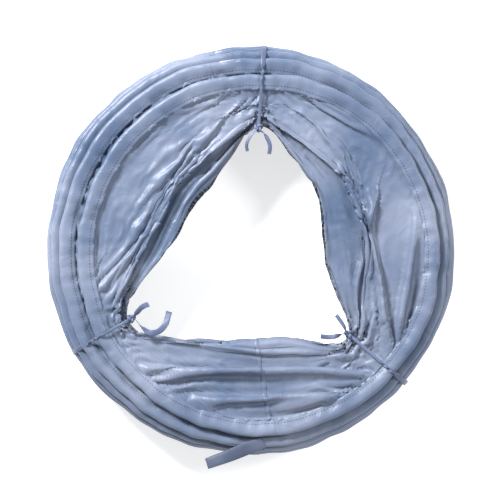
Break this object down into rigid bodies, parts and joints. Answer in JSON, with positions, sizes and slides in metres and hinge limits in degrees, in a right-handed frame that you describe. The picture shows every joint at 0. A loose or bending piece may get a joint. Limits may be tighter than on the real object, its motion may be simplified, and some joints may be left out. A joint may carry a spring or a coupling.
{
  "type": "agility tunnel",
  "caption": "Collapsible fabric dog agility tunnel on sleeved spring hoops, pressed flat and tied with ribbons so that its opening is a rounded triangle.",
  "frame": {"origin": "on the ground at the centre of the folded bundle", "axes": "+Z along the tunnel's axis, up from the first hoop that it lies on; +Y towards the top tie, +X to the right of it"},
  "size_m": [0.5967, 0.6051, 0.1012],
  "materials": {
    "taffeta": "blue-grey polyester taffeta, slight sheen",
    "tie_ribbon": "narrow twisted ribbon of the same cloth",
    "webbing": "folded flat strap",
    "spring_steel": "bright spring wire",
    "ferrule": "crimped tube"
  },
  "bodies": {
    "hoop_01": {"hoop_wire_01": "spring_steel", "ferrule_01": "ferrule", "channel_sleeve_01": "taffeta", "fabric_panel_01": "taffeta", "top_tie_lower_ribbon": "tie_ribbon", "left_tie_lower_ribbon": "tie_ribbon", "right_tie_lower_ribbon": "tie_ribbon"},
    "hoop_02": {"hoop_wire_02": "spring_steel", "ferrule_02": "ferrule", "channel_sleeve_02": "taffeta", "fabric_panel_02": "taffeta"},
    "hoop_03": {"hoop_wire_03": "spring_steel", "ferrule_03": "ferrule", "channel_sleeve_03": "taffeta", "fabric_panel_03": "taffeta"},
    "hoop_04": {"hoop_wire_04": "spring_steel", "ferrule_04": "ferrule", "channel_sleeve_04": "taffeta", "fabric_panel_04": "taffeta"},
    "hoop_05": {"hoop_wire_05": "spring_steel", "ferrule_05": "ferrule", "channel_sleeve_05": "taffeta", "fabric_panel_05": "taffeta"},
    "hoop_06": {"hoop_wire_06": "spring_steel", "ferrule_06": "ferrule", "channel_sleeve_06": "taffeta", "fabric_panel_06": "taffeta"},
    "hoop_07": {"hoop_wire_07": "spring_steel", "ferrule_07": "ferrule", "channel_sleeve_07": "taffeta", "fabric_panel_07": "taffeta"},
    "hoop_08": {"hoop_wire_08": "spring_steel", "ferrule_08": "ferrule", "channel_sleeve_08": "taffeta", "fabric_panel_08": "taffeta"},
    "hoop_09": {"hoop_wire_09": "spring_steel", "ferrule_09": "ferrule", "channel_sleeve_09": "taffeta", "fabric_panel_09": "taffeta", "peg_strap": "webbing"},
    "hoop_10": {"hoop_wire_10": "spring_steel", "ferrule_10": "ferrule", "channel_sleeve_10": "taffeta", "top_tie_upper_ribbon": "tie_ribbon", "top_tie_knot": "tie_ribbon", "top_tie_loose_ends": "tie_ribbon", "left_tie_upper_ribbon": "tie_ribbon", "left_tie_knot": "tie_ribbon", "left_tie_loose_ends": "tie_ribbon", "right_tie_upper_ribbon": "tie_ribbon", "right_tie_knot": "tie_ribbon", "right_tie_loose_ends": "tie_ribbon"}
  },
  "joints": [
    {"name": "draw_out_01", "type": "slide", "parent": "hoop_01", "child": "hoop_02", "axis": [0, 0, 1], "range_m": [0, 0.323], "deforming": ["fabric_panel_01"]},
    {"name": "draw_out_02", "type": "slide", "parent": "hoop_02", "child": "hoop_03", "axis": [0, 0, 1], "range_m": [0, 0.323], "deforming": ["fabric_panel_02"]},
    {"name": "draw_out_03", "type": "slide", "parent": "hoop_03", "child": "hoop_04", "axis": [0, 0, 1], "range_m": [0, 0.323], "deforming": ["fabric_panel_03"]},
    {"name": "draw_out_04", "type": "slide", "parent": "hoop_04", "child": "hoop_05", "axis": [0, 0, 1], "range_m": [0, 0.323], "deforming": ["fabric_panel_04"]},
    {"name": "draw_out_05", "type": "slide", "parent": "hoop_05", "child": "hoop_06", "axis": [0, 0, 1], "range_m": [0, 0.323], "deforming": ["fabric_panel_05"]},
    {"name": "draw_out_06", "type": "slide", "parent": "hoop_06", "child": "hoop_07", "axis": [0, 0, 1], "range_m": [0, 0.323], "deforming": ["fabric_panel_06"]},
    {"name": "draw_out_07", "type": "slide", "parent": "hoop_07", "child": "hoop_08", "axis": [0, 0, 1], "range_m": [0, 0.323], "deforming": ["fabric_panel_07"]},
    {"name": "draw_out_08", "type": "slide", "parent": "hoop_08", "child": "hoop_09", "axis": [0, 0, 1], "range_m": [0, 0.323], "deforming": ["fabric_panel_08"]},
    {"name": "draw_out_09", "type": "slide", "parent": "hoop_09", "child": "hoop_10", "axis": [0, 0, 1], "range_m": [0, 0.323], "deforming": ["fabric_panel_09"]}
  ],
  "couplings": [
    {"joint": "draw_out_02", "follows": "draw_out_01", "ratio": 1},
    {"joint": "draw_out_03", "follows": "draw_out_01", "ratio": 1},
    {"joint": "draw_out_04", "follows": "draw_out_01", "ratio": 1},
    {"joint": "draw_out_05", "follows": "draw_out_01", "ratio": 1},
    {"joint": "draw_out_06", "follows": "draw_out_01", "ratio": 1},
    {"joint": "draw_out_07", "follows": "draw_out_01", "ratio": 1},
    {"joint": "draw_out_08", "follows": "draw_out_01", "ratio": 1},
    {"joint": "draw_out_09", "follows": "draw_out_01", "ratio": 1}
  ]
}
